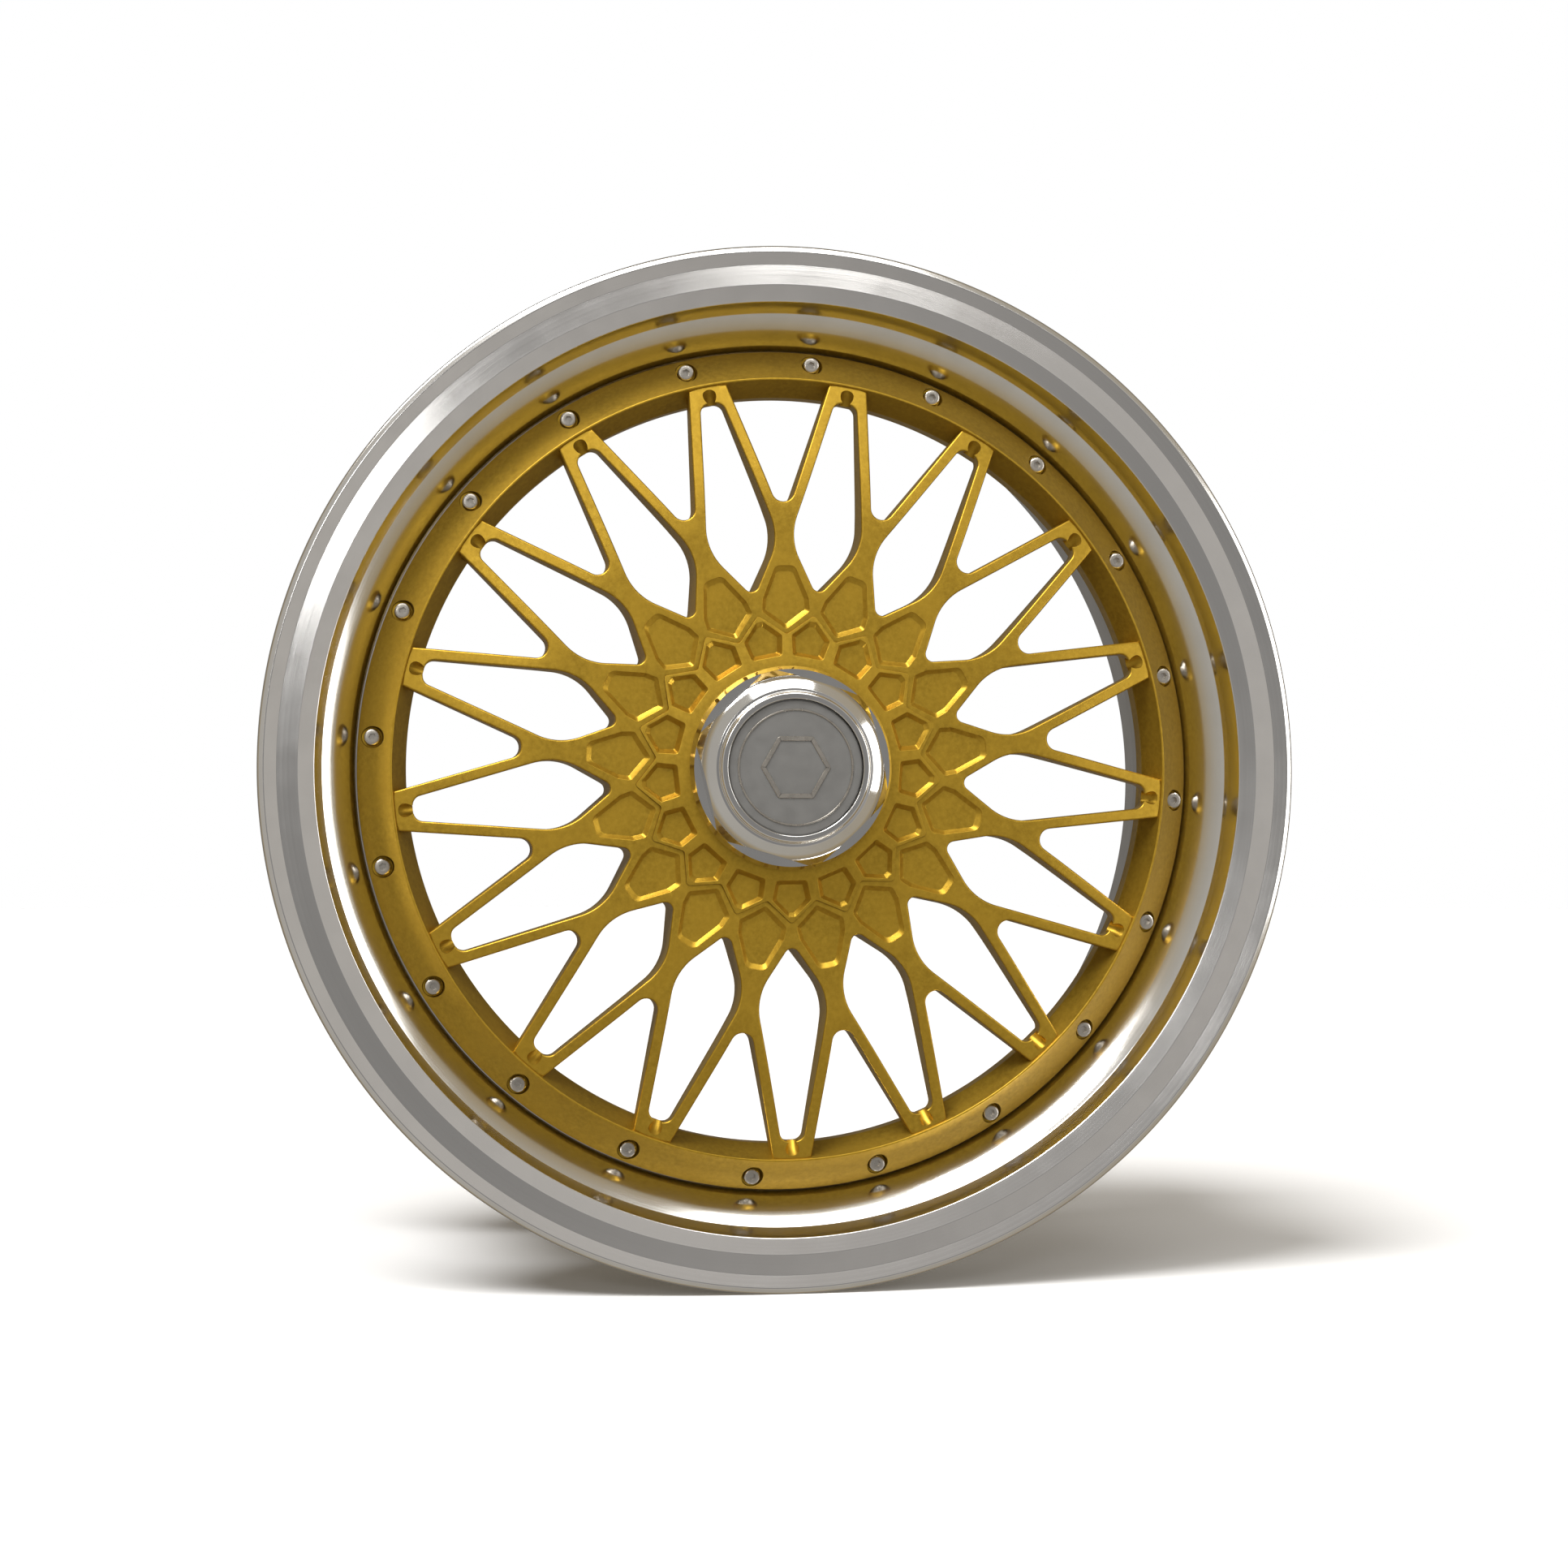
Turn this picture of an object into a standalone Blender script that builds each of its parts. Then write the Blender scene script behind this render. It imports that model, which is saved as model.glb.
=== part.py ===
"""A forged three-piece mesh wheel, 18 by 8 inches.

The wheel's axis is world Y, with the outboard face towards -Y and +Z up. Everything is modelled in
the wheel's own frame: local Z is the axis, pointing outboard, and a "station" is the distance
outboard of the bolt circle's plane. One empty turns that frame into the world's, and another holds
the tyre valve. Sizes are in millimetres, and MM turns them into metres.
"""
import math

import bmesh
import bpy
from mathutils import Matrix, Vector

MM = 0.001
FULL_TURN = 2 * math.pi

# The rim: an 18 inch bead seat is 462 mm across, and its flange stands 17.3 mm above it.
BEAD_SEAT_R = 231.0
FLANGE_R = BEAD_SEAT_R + 17.3
RIM_WIDTH = 203.2               # between the two flanges' tyre faces: 8 inches
FLANGE_THICK = 12.3
OUTER_FLANGE_FACE = 10.5        # station of the outboard flange's tyre face
LIP_FRONT = OUTER_FLANGE_FACE + FLANGE_THICK
INNER_FLANGE_FACE = OUTER_FLANGE_FACE - RIM_WIDTH
RIM_BACK = INNER_FLANGE_FACE - 12.0
HALF_FLANGE_R = 186.6           # inner edge of the two bolted flanges
HALF_FLANGE_THICK = 7.0
WELL_R = 208.0
WALL = 5.5                      # of the barrel's well
BEAD_HUMP = 0.9                 # how far the safety humps stand above the bead seats

# The centre disc
SPOKES = 17
PETAL_ANGLE = math.radians(16.94)           # the middle of the first opening between two spokes
SPOKE_PITCH = FULL_TURN / SPOKES
STEM_ANGLE = PETAL_ANGLE + SPOKE_PITCH / 2  # the middle of the first Y spoke
DISC_R = 202.2
DISC_BACK = -12.0
THROUGH = 50                    # cutters of through holes reach this far from the bolt circle's plane
FOOT_FLOOR = 6.0                # of the milled channels at the spokes' feet
CELL_FLOOR = 18.6               # of the honeycomb pockets at the spokes' roots
COVER_CELL_FLOOR = 19.6
RIDGE_R = 186.3                 # the proud inner edge of the ring
RIDGE_STATION = 10.8
RING_WALL_R = 179.3
HUB_FRONT = 20.6
HUB_PAD_R = 78.0
HUB_FACE = -36.0                # the face that seats on the car's hub
SPIGOT_BORE_R = 36.3
SLEEVE_BORE_R = 29.6
SLEEVE_SHOULDER = -20.0

# The ring's bolts
BOLTS = 20
BOLT_CIRCLE_R = 195.6
BOLT_ANGLE = math.radians(13.76)
COUNTERBORE_R = 5.2
COUNTERBORE_FLOOR = -5.5
BOLT_HEAD_R = 3.8
BOLT_R = 2.9
BOLT_HOLE_R = 3.3
BOLT_END = -33.0

# The wheel bolts that hold it to the car: five on a 100 mm circle
LUGS = 5
LUG_CIRCLE_R = 50.0
LUG_HOLE_R = 7.5
LUG_POCKET_R = 12.4
LUG_SEAT = -14.0

# The honeycomb cover and the centre nut
COVER_PEAK_R = 73.8
COVER_VALLEY_R = 63.5
COVER_BACK = 14.5
COVER_BORE_R = 30.4
COVER_CROWN = 23.4
CAP_FLANGE_R = 48.3
CAP_TOP = 42.5
CAP_UNDERSIDE = 23.9
EMBLEM_R = 31.7
FLAT_APOTHEM = 42.3
FLAT_FLOOR = 31.2
FLAT_ANGLE = math.radians(13.6)

# The tyre valve, in the barrel behind a spoke's foot
VALVE_ANGLE = PETAL_ANGLE + 8 * SPOKE_PITCH
VALVE_STATION = -43.5

GAP = 0.3                       # clearance between touching pieces
ABOVE = 60                      # a station in front of every piece, where cutters from the front start
MID_STATION = (CAP_TOP + RIM_BACK) / 2      # goes to the world's origin
RIM_STEPS = 40
DISC_STEPS = SPOKES * 3
SMALL_STEPS = 24
VALVE_STEPS = 12
BOLT_STEPS = 8


# ---------------------------------------------------------------- scene and materials

def clear_scene():
    for item in list(bpy.data.objects):
        bpy.data.objects.remove(item, do_unlink=True)


def new_collection(name):
    group = bpy.data.collections.new(name)
    bpy.context.scene.collection.children.link(group)
    return group


def new_material(name, colour, metallic, roughness):
    material = bpy.data.materials.new(name)
    material.use_nodes = True
    shader = material.node_tree.nodes["Principled BSDF"]
    shader.inputs["Base Color"].default_value = (*colour, 1.0)
    shader.inputs["Metallic"].default_value = metallic
    shader.inputs["Roughness"].default_value = roughness
    material.diffuse_color = (*colour, 1.0)
    return material


def new_frame(name, location, rotation, parent=None):
    """An empty whose local Z is an axis that pieces are built on."""
    frame = bpy.data.objects.new(name, None)
    WHEEL.objects.link(frame)
    frame.parent = parent
    frame.location = location
    frame.rotation_euler = rotation
    return frame


def new_piece(name, mesh, material, frame):
    piece = bpy.data.objects.new(name, mesh)
    WHEEL.objects.link(piece)
    piece.parent = frame
    if not mesh.materials:
        mesh.materials.append(material)
    return piece


def new_cutter(name, mesh, frame):
    cutter = bpy.data.objects.new(name, mesh)
    CUTTERS.objects.link(cutter)
    cutter.parent = frame
    cutter.hide_render = True
    cutter.display_type = "WIRE"
    return cutter


# ---------------------------------------------------------------- shapes

def turned_mesh(name, profile):
    """An open or closed profile of (radius, station), which runs down its outer side."""
    mesh = bpy.data.meshes.new(name)
    points = [(radius * MM, 0.0, station * MM) for radius, station in profile]
    edges = [(i, i + 1) for i in range(len(points) - 1)]
    on_axis = profile[0][0] == 0 and profile[-1][0] == 0
    if not on_axis:
        edges.append((len(points) - 1, 0))
    mesh.from_pydata(points, edges, [])
    return mesh


def turn(piece, steps):
    screw = piece.modifiers.new("turn", "SCREW")
    screw.axis = "Z"
    screw.angle = FULL_TURN
    screw.steps = steps
    screw.render_steps = steps
    screw.use_merge_vertices = True
    screw.merge_threshold = 0.00001
    screw.use_smooth_shade = True
    return piece


def prism_mesh(name, outlines, low, high):
    """Flat outlines of (x, y), filled and raised from one station to another, as a welded mesh."""
    curve = bpy.data.curves.new(name, "CURVE")
    curve.dimensions = "2D"
    curve.fill_mode = "BOTH"
    curve.extrude = (high - low) / 2 * MM
    for outline in outlines:
        spline = curve.splines.new("POLY")
        spline.points.add(len(outline) - 1)
        for point, (x, y) in zip(spline.points, outline):
            point.co = (x * MM, y * MM, 0.0, 1.0)
        spline.use_cyclic_u = True
    holder = bpy.data.objects.new(name, curve)
    bpy.context.scene.collection.objects.link(holder)
    bpy.context.view_layer.update()
    mesh = bpy.data.meshes.new_from_object(holder.evaluated_get(bpy.context.evaluated_depsgraph_get()))
    bpy.data.objects.remove(holder, do_unlink=True)
    shape = bmesh.new()
    shape.from_mesh(mesh)
    bmesh.ops.remove_doubles(shape, verts=shape.verts, dist=0.000001)
    bmesh.ops.translate(shape, verts=shape.verts, vec=(0.0, 0.0, (high + low) / 2 * MM))
    bmesh.ops.recalc_face_normals(shape, faces=shape.faces)
    shape.to_mesh(mesh)
    shape.free()
    return mesh


def boolean(piece, cutter, operation="DIFFERENCE", solver="EXACT"):
    cut = piece.modifiers.new(cutter.name, "BOOLEAN")
    cut.object = cutter
    cut.operation = operation
    cut.solver = solver


def circle(radius, sides, centre=(0.0, 0.0), start=0.0):
    """A regular polygon whose corners lie on the circle."""
    turns = [start + FULL_TURN * i / sides for i in range(sides)]
    return [(centre[0] + radius * math.cos(a), centre[1] + radius * math.sin(a)) for a in turns]


def rounded(corners, steps=3):
    """A closed outline of (x, y, corner radius), with each corner rounded by an arc."""
    outline = []
    count = len(corners)
    for i, (x, y, radius) in enumerate(corners):
        here = Vector((x, y))
        before = (Vector(corners[i - 1][:2]) - here).normalized()
        after = (Vector(corners[(i + 1) % count][:2]) - here).normalized()
        if radius == 0:
            outline.append((x, y))
            continue
        half = before.angle(after) / 2
        centre = here + (before + after).normalized() * (radius / math.sin(half))
        first = here + before * (radius / math.tan(half)) - centre
        last = here + after * (radius / math.tan(half)) - centre
        sweep = first.angle_signed(last)
        for k in range(steps + 1):
            outline.append(tuple(centre + Matrix.Rotation(-sweep * k / steps, 2) @ first))
    return outline


def mirrored(corners):
    """Corners of one side, from the inner end to the outer, and the other side's back again."""
    other = [(x, -y, radius) for x, y, radius in reversed(corners) if y != 0]
    return corners + other


def around(outline, count, first_angle):
    """Copies of an outline that points along +X, turned to equal steps about the axis."""
    copies = []
    for i in range(count):
        angle = first_angle + FULL_TURN * i / count
        c, s = math.cos(angle), math.sin(angle)
        copies.append([(x * c - y * s, x * s + y * c) for x, y in outline])
    return copies


def on_circle(radius, count, first_angle):
    turns = [first_angle + FULL_TURN * i / count for i in range(count)]
    return [(radius * math.cos(a), radius * math.sin(a)) for a in turns]


# ---------------------------------------------------------------- rim halves

def make_outer_half():
    back = DISC_BACK - GAP - HALF_FLANGE_THICK
    profile = [
        (245.0, LIP_FRONT), (247.4, LIP_FRONT - 0.7), (FLANGE_R, LIP_FRONT - 2.6), (FLANGE_R, 15.5),
        (246.6, 12.2), (243.5, OUTER_FLANGE_FACE), (235.5, OUTER_FLANGE_FACE), (BEAD_SEAT_R + 1, 8.0),
        (BEAD_SEAT_R - 0.8, -9.5), (BEAD_SEAT_R + BEAD_HUMP, -13.0), (BEAD_SEAT_R - 1.5, -16.5), (217.0, back),
        (HALF_FLANGE_R, back), (HALF_FLANGE_R, DISC_BACK - GAP), (204.6, DISC_BACK - GAP),
        (205.2, -7.0), (206.6, -2.6), (209.4, 1.6), (213.6, 5.2), (218.8, 7.0),
        (222.0, 19.8), (229.8, 21.8), (239.4, 21.2),
    ]
    piece = new_piece("outer_rim_half", turned_mesh("outer_rim_half", profile), POLISHED, AXIS)
    turn(piece, RIM_STEPS)
    boolean(piece, RIM_BOLT_HOLES)


def make_inner_half():
    front = DISC_BACK - 2 * GAP - HALF_FLANGE_THICK
    back = front - HALF_FLANGE_THICK
    profile = [
        (WELL_R, front), (WELL_R, -60.0), (225.0, -90.0), (226.0, -162.0), (BEAD_SEAT_R + BEAD_HUMP, -169.0),
        (BEAD_SEAT_R - 0.8, -173.0), (BEAD_SEAT_R + 1, -190.0), (235.5, INNER_FLANGE_FACE),
        (243.5, INNER_FLANGE_FACE), (FLANGE_R, -197.0), (FLANGE_R, -201.5), (245.5, RIM_BACK),
        (238.0, RIM_BACK), (225.0, -194.0), (221.0, -162.0), (220.3, -91.5),
        (WELL_R - WALL, -61.5), (WELL_R - WALL, back), (HALF_FLANGE_R, back), (HALF_FLANGE_R, front),
    ]
    piece = new_piece("inner_rim_half", turned_mesh("inner_rim_half", profile), RIM_GREY, AXIS)
    turn(piece, RIM_STEPS)
    boolean(piece, RIM_BOLT_HOLES)
    for name, radius, low, high in (
        ("valve_hole_cutter", 4.7, 195.0, 215.0),
        ("valve_outer_spotface_cutter", 8.4, WELL_R - 0.8, 216.0),
        ("valve_inner_spotface_cutter", 8.4, 190.0, WELL_R - WALL + 0.3),
    ):
        mesh = prism_mesh(name, [circle(radius, 16)], -high, -low)
        boolean(piece, new_cutter(name, mesh, VALVE_AXIS))


def make_seal():
    joint = DISC_BACK - GAP - HALF_FLANGE_THICK
    profile = [
        (WELL_R + 4.5, joint - GAP), (WELL_R + 3.0, joint - 2.4), (WELL_R + GAP, joint - 5.0),
        (WELL_R + GAP, joint - GAP),
    ]
    turn(new_piece("rim_seal", turned_mesh("rim_seal", profile), SEALANT, AXIS), RIM_STEPS)


# ---------------------------------------------------------------- centre disc

def petal_outline():
    """The opening between two spokes: a leaf with round shoulders and a narrow outer end."""
    return rounded(mirrored([
        (82.7, 0.0, 3.6),
        (108.4, 17.6, 27.0),
        (177.4, 5.3, 4.6),
    ]))


def triangle_outline():
    """The opening between a spoke's two arms, which runs on under the ring."""
    return rounded(mirrored([
        (116.9, 0.0, 5.4),
        (189.5, 27.0, 0.0),
    ]))


def foot_outline():
    """The milled channel between two arms where they meet the ring."""
    return rounded([(173.0, 3.4, 0), (173.0, -3.4, 0), (184.0, -3.0, 1.5), (184.0, 3.0, 1.5)], 2)


def outer_cell_outline():
    """The honeycomb pocket at the root of a spoke."""
    return rounded(mirrored([
        (66.3, 0.0, 1.0),
        (74.6, 11.3, 1.5),
        (80.5, 10.9, 3.0),
        (96.2, 4.6, 4.0),
    ]), 1)


def inner_cell_outline():
    """The smaller pocket on the cover, between two spokes' roots."""
    return rounded(mirrored([
        (53.2, 7.2, 1.2),
        (62.4, 9.2, 1.2),
        (70.2, 1.6, 1.4),
    ]), 1)


def star_outline(margin=0.0):
    """The cover's zigzag edge, which follows the lands between the honeycomb pockets."""
    outline = []
    for i in range(SPOKES):
        angle = PETAL_ANGLE + i * SPOKE_PITCH
        for radius, turn_by in ((COVER_PEAK_R, 0.0), (COVER_VALLEY_R, SPOKE_PITCH / 2)):
            a = angle + turn_by
            outline.append(((radius + margin) * math.cos(a), (radius + margin) * math.sin(a)))
    return outline


def make_ring_guide():
    """The bolted ring, which joins the spokes' ends and shows a sloping wall in each opening."""
    profile = [
        (DISC_R, -6.6), (DISC_R, DISC_BACK), (RING_WALL_R, DISC_BACK), (RING_WALL_R, -2.0),
        (RIDGE_R, RIDGE_STATION - 0.4), (RIDGE_R + 0.8, RIDGE_STATION - 0.4),
    ]
    guide = new_cutter("ring_guide", turned_mesh("ring_guide", profile), AXIS)
    return turn(guide, DISC_STEPS)


def cut_disc(piece, name, outlines, low, high):
    """The exact solver leaves open edges where the arms' flanks cross the ring's sloping wall."""
    cutter = new_cutter(name, prism_mesh(name, outlines, low, high), AXIS)
    boolean(piece, cutter, solver="MANIFOLD")


def make_disc():
    profile = [
        (188.4, 9.0), (188.4, 0.0), (127.0, 2.6), (84.0, -10.0), (HUB_PAD_R, HUB_FACE),
        (SPIGOT_BORE_R, HUB_FACE), (SPIGOT_BORE_R, SLEEVE_SHOULDER), (SLEEVE_BORE_R, SLEEVE_SHOULDER),
        (SLEEVE_BORE_R, HUB_FRONT), (HUB_PAD_R, HUB_FRONT), (132.0, 19.7),
    ]
    piece = new_piece("centre_disc", turned_mesh("centre_disc", profile), GOLD, AXIS)
    turn(piece, DISC_STEPS)
    cut_disc(piece, "petal_cutter", around(petal_outline(), SPOKES, PETAL_ANGLE), -THROUGH, THROUGH)
    cut_disc(piece, "triangle_cutter", around(triangle_outline(), SPOKES, STEM_ANGLE), -THROUGH, THROUGH)
    boolean(piece, make_ring_guide(), "UNION", "MANIFOLD")
    cut_disc(piece, "foot_cutter", around(foot_outline(), SPOKES, PETAL_ANGLE), FOOT_FLOOR, ABOVE)
    cells = around(outer_cell_outline(), SPOKES, STEM_ANGLE)
    cut_disc(piece, "outer_cell_cutter", cells, CELL_FLOOR, ABOVE)
    cut_disc(piece, "cover_recess_cutter", [star_outline(GAP)], COVER_BACK - GAP, ABOVE)
    lugs = on_circle(LUG_CIRCLE_R, LUGS, math.pi / 2)
    pockets = [circle(LUG_POCKET_R, 12, place) for place in lugs]
    cut_disc(piece, "lug_pocket_cutter", pockets, LUG_SEAT, ABOVE)
    holes = [circle(LUG_HOLE_R, 10, place) for place in lugs]
    cut_disc(piece, "lug_hole_cutter", holes, -THROUGH, 0)
    places = on_circle(BOLT_CIRCLE_R, BOLTS, BOLT_ANGLE)
    seats = [circle(COUNTERBORE_R, 10, place) for place in places]
    cut_disc(piece, "counterbore_cutter", seats, COUNTERBORE_FLOOR, ABOVE)
    boolean(piece, RIM_BOLT_HOLES, solver="MANIFOLD")
    groove = [(37.7, -29.2), (37.7, -30.8), (35.0, -30.8), (35.0, -29.2)]
    clip_groove = new_cutter("clip_groove_cutter", turned_mesh("clip_groove_cutter", groove), AXIS)
    boolean(piece, turn(clip_groove, SMALL_STEPS), solver="MANIFOLD")


# ---------------------------------------------------------------- fasteners

def make_bolts_and_nuts():
    head_low = COUNTERBORE_FLOOR + GAP
    head_high = head_low + 5.0
    bolt_profile = [
        (0.0, head_high - 2.2), (1.9, head_high - 2.2), (1.9, head_high), (BOLT_HEAD_R, head_high),
        (BOLT_HEAD_R, head_low), (BOLT_R, head_low), (BOLT_R, BOLT_END), (0.0, BOLT_END),
    ]
    bolt_mesh = turned_mesh("rim_bolt", bolt_profile)
    nut_top = DISC_BACK - 3 * GAP - 2 * HALF_FLANGE_THICK
    nut_mesh = prism_mesh("rim_nut", [circle(5.77, 6), circle(3.25, 8)], nut_top - 5.0, nut_top)
    for i, (x, y) in enumerate(on_circle(BOLT_CIRCLE_R, BOLTS, BOLT_ANGLE), 1):
        bolt = turn(new_piece(f"rim_bolt_{i:02d}", bolt_mesh, STEEL, AXIS), BOLT_STEPS)
        nut = new_piece(f"rim_nut_{i:02d}", nut_mesh, STEEL, AXIS)
        for piece in (bolt, nut):
            piece.location = (x * MM, y * MM, 0.0)
            piece.rotation_euler = (0.0, 0.0, math.atan2(y, x))


# ---------------------------------------------------------------- hub pieces

def make_cover():
    profile = [
        (84.0, HUB_FRONT - 0.6), (84.0, COVER_BACK), (COVER_BORE_R, COVER_BACK),
        (COVER_BORE_R, COVER_CROWN), (CAP_FLANGE_R + 1, COVER_CROWN),
    ]
    piece = new_piece("honeycomb_cover", turned_mesh("honeycomb_cover", profile), GOLD, AXIS)
    turn(piece, SPOKES)
    edge = prism_mesh("cover_edge_guide", [star_outline()], 0, ABOVE)
    star = new_cutter("cover_edge_guide", edge, AXIS)
    boolean(piece, star, "INTERSECT")
    cells = around(inner_cell_outline(), SPOKES, PETAL_ANGLE)
    pockets = prism_mesh("inner_cell_cutter", cells, COVER_CELL_FLOOR, ABOVE)
    boolean(piece, new_cutter("inner_cell_cutter", pockets, AXIS))


def make_centre_nut():
    recess = EMBLEM_R + GAP
    profile = [
        (0.0, 39.5), (recess, 39.5), (recess, 41.6), (33.0, CAP_TOP), (34.4, CAP_TOP), (35.4, 41.2),
        (35.8, 39.2), (37.2, 38.8), (42.0, 36.0), (45.8, 31.6), (CAP_FLANGE_R, 27.4),
        (CAP_FLANGE_R, CAP_UNDERSIDE), (34.4, CAP_UNDERSIDE), (34.4, CAP_UNDERSIDE + 1.9),
        (31.0, CAP_UNDERSIDE + 1.9), (31.0, CAP_UNDERSIDE), (26.2, CAP_UNDERSIDE), (26.2, 5.0),
        (22.5, 5.0), (22.5, 36.5), (0.0, 36.5),
    ]
    piece = new_piece("hex_cap_nut", turned_mesh("hex_cap_nut", profile), POLISHED, AXIS)
    turn(piece, SMALL_STEPS)
    flat = [(FLAT_APOTHEM, -14.0), (60.0, -14.0), (60.0, 14.0), (FLAT_APOTHEM, 14.0)]
    flats = prism_mesh("flat_cutter", around(flat, 6, FLAT_ANGLE), FLAT_FLOOR, ABOVE)
    boolean(piece, new_cutter("flat_cutter", flats, AXIS))
    ring = [
        (33.8, 25.2), (33.8, 24.2), (33.2, COVER_CROWN + GAP), (32.0, COVER_CROWN + GAP),
        (31.4, 24.2), (31.4, 25.2), (32.0, 25.5), (33.2, 25.5),
    ]
    turn(new_piece("cap_nut_oring", turned_mesh("cap_nut_oring", ring), BLACK_RUBBER, AXIS), SMALL_STEPS)
    plate = [(0.0, 40.8), (EMBLEM_R - 0.6, 40.8), (EMBLEM_R, 40.2), (EMBLEM_R, 39.8), (0.0, 39.8)]
    turn(new_piece("emblem_plate", turned_mesh("emblem_plate", plate), EMBLEM_GREY, AXIS), SMALL_STEPS)


def make_sleeve():
    top = SLEEVE_SHOULDER - GAP
    profile = [
        (29.2, 20.5), (29.2, top), (34.5, top), (34.5, top - 3.2), (26.6, top - 3.2), (26.6, 20.5),
    ]
    turn(new_piece("threaded_sleeve", turned_mesh("threaded_sleeve", profile), STEEL, AXIS), SMALL_STEPS)


def make_centring_ring():
    top = SLEEVE_SHOULDER - 2 * GAP - 3.4
    profile = [
        (35.9, top), (35.9, -28.9), (34.7, -28.9), (34.7, -31.1), (35.9, -31.1), (35.9, -35.7),
        (33.6, -35.7), (32.6, -34.5), (32.6, top),
    ]
    ring = turned_mesh("hub_centring_ring", profile)
    turn(new_piece("hub_centring_ring", ring, RIM_GREY, AXIS), SMALL_STEPS)
    clip = [(37.3, -29.5), (37.3, -30.5), (35.0, -30.5), (35.0, -29.5)]
    turn(new_piece("centring_ring_clip", turned_mesh("centring_ring_clip", clip), STEEL, AXIS), SMALL_STEPS)


# ---------------------------------------------------------------- tyre valve

def valve_piece(name, material, profile):
    """A turned valve piece: stations count down from the wheel's axis, so -200 is 200 mm from it."""
    return turn(new_piece(name, turned_mesh(name, profile), material, VALVE_AXIS), VALVE_STEPS)


def make_valve():
    seat = -(WELL_R - 0.8)
    valve_piece("valve_body", BRASS, [
        (3.9, -182.0), (3.9, -190.0), (4.15, -190.5), (4.15, seat - 4.3), (7.6, seat - 4.3),
        (7.6, seat - 6.6), (2.5, seat - 6.6), (2.5, -182.0),
    ])
    valve_piece("valve_grommet", BLACK_RUBBER, [
        (7.6, seat - 1.0), (7.6, seat - 4.0), (4.5, seat - 4.0), (4.5, seat - GAP), (7.0, seat - GAP),
    ])
    inner_seat = -(WELL_R - WALL + 0.3)
    valve_piece("valve_washer", STEEL, [
        (7.6, inner_seat + 1.6), (7.6, inner_seat + GAP), (4.5, inner_seat + GAP), (4.5, inner_seat + 1.6),
    ])
    nut_low = inner_seat + 1.9
    nut = prism_mesh("valve_nut", [circle(6.9, 6), circle(4.5, 12)], nut_low, nut_low + 5.0)
    new_piece("valve_nut", nut, STEEL, VALVE_AXIS)
    valve_piece("valve_core", BRASS, [
        (2.2, -183.0), (2.2, -199.0), (1.0, -199.0), (1.0, -183.0),
    ])
    valve_piece("valve_pin", BRASS, [
        (0.0, -182.3), (0.65, -182.3), (0.65, -199.5), (1.9, -199.5), (1.9, -200.5), (0.0, -200.5),
    ])
    valve_piece("valve_cap", POLISHED, [
        (0.0, -178.6), (4.6, -178.6), (5.1, -179.2), (5.1, -189.5), (4.2, -189.5), (4.2, -180.4),
        (0.0, -180.4),
    ])
    valve_piece("valve_cap_seal", BLACK_RUBBER, [
        (3.9, -180.7), (3.9, -181.7), (1.6, -181.7), (1.6, -180.7),
    ])


# ---------------------------------------------------------------- build

clear_scene()
WHEEL = new_collection("mesh_wheel")
CUTTERS = new_collection("cutters")
GOLD = new_material("gold_anodised", (0.42, 0.27, 0.04), 0.85, 0.38)
POLISHED = new_material("polished_aluminium", (0.80, 0.79, 0.77), 1.0, 0.12)
RIM_GREY = new_material("machined_aluminium", (0.62, 0.62, 0.61), 1.0, 0.32)
STEEL = new_material("bright_steel", (0.62, 0.60, 0.57), 1.0, 0.25)
BRASS = new_material("plated_brass", (0.66, 0.60, 0.45), 1.0, 0.30)
SEALANT = new_material("grey_sealant", (0.20, 0.20, 0.20), 0.0, 0.60)
BLACK_RUBBER = new_material("black_rubber", (0.03, 0.03, 0.03), 0.0, 0.65)
EMBLEM_GREY = new_material("emblem_grey", (0.19, 0.18, 0.17), 0.3, 0.42)

AXIS = new_frame("wheel_axis", (0.0, MID_STATION * MM, 0.0), (math.pi / 2, 0.0, 0.0))
VALVE_AXIS = new_frame(
    "valve_axis",
    (0.0, 0.0, VALVE_STATION * MM),
    Vector((-math.cos(VALVE_ANGLE), -math.sin(VALVE_ANGLE), 0.0)).to_track_quat("Z", "X").to_euler(),
    AXIS,
)
RIM_BOLT_HOLES = new_cutter(
    "bolt_hole_cutter",
    prism_mesh(
        "bolt_hole_cutter",
        [circle(BOLT_HOLE_R, 8, (x, y), math.atan2(y, x))
         for x, y in on_circle(BOLT_CIRCLE_R, BOLTS, BOLT_ANGLE)],
        -45,
        0,
    ),
    AXIS,
)
make_outer_half()
make_inner_half()
make_seal()
make_disc()
make_bolts_and_nuts()
make_cover()
make_centre_nut()
make_sleeve()
make_centring_ring()
make_valve()
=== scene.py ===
"""The looks of a forged three-piece mesh wheel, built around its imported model.

The wheel's axis is world Y, with the outboard face towards -Y and +Z up. Shapes are described in the
wheel's own frame: x to the right and y up as seen from outboard, and a "station" in millimetres
outboard of the bolt circle's plane. place() turns that frame into the world's.
"""
import math

import bmesh
import bpy
import numpy as np
from mathutils import Matrix, Vector, kdtree
from mathutils.geometry import delaunay_2d_cdt


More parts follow.
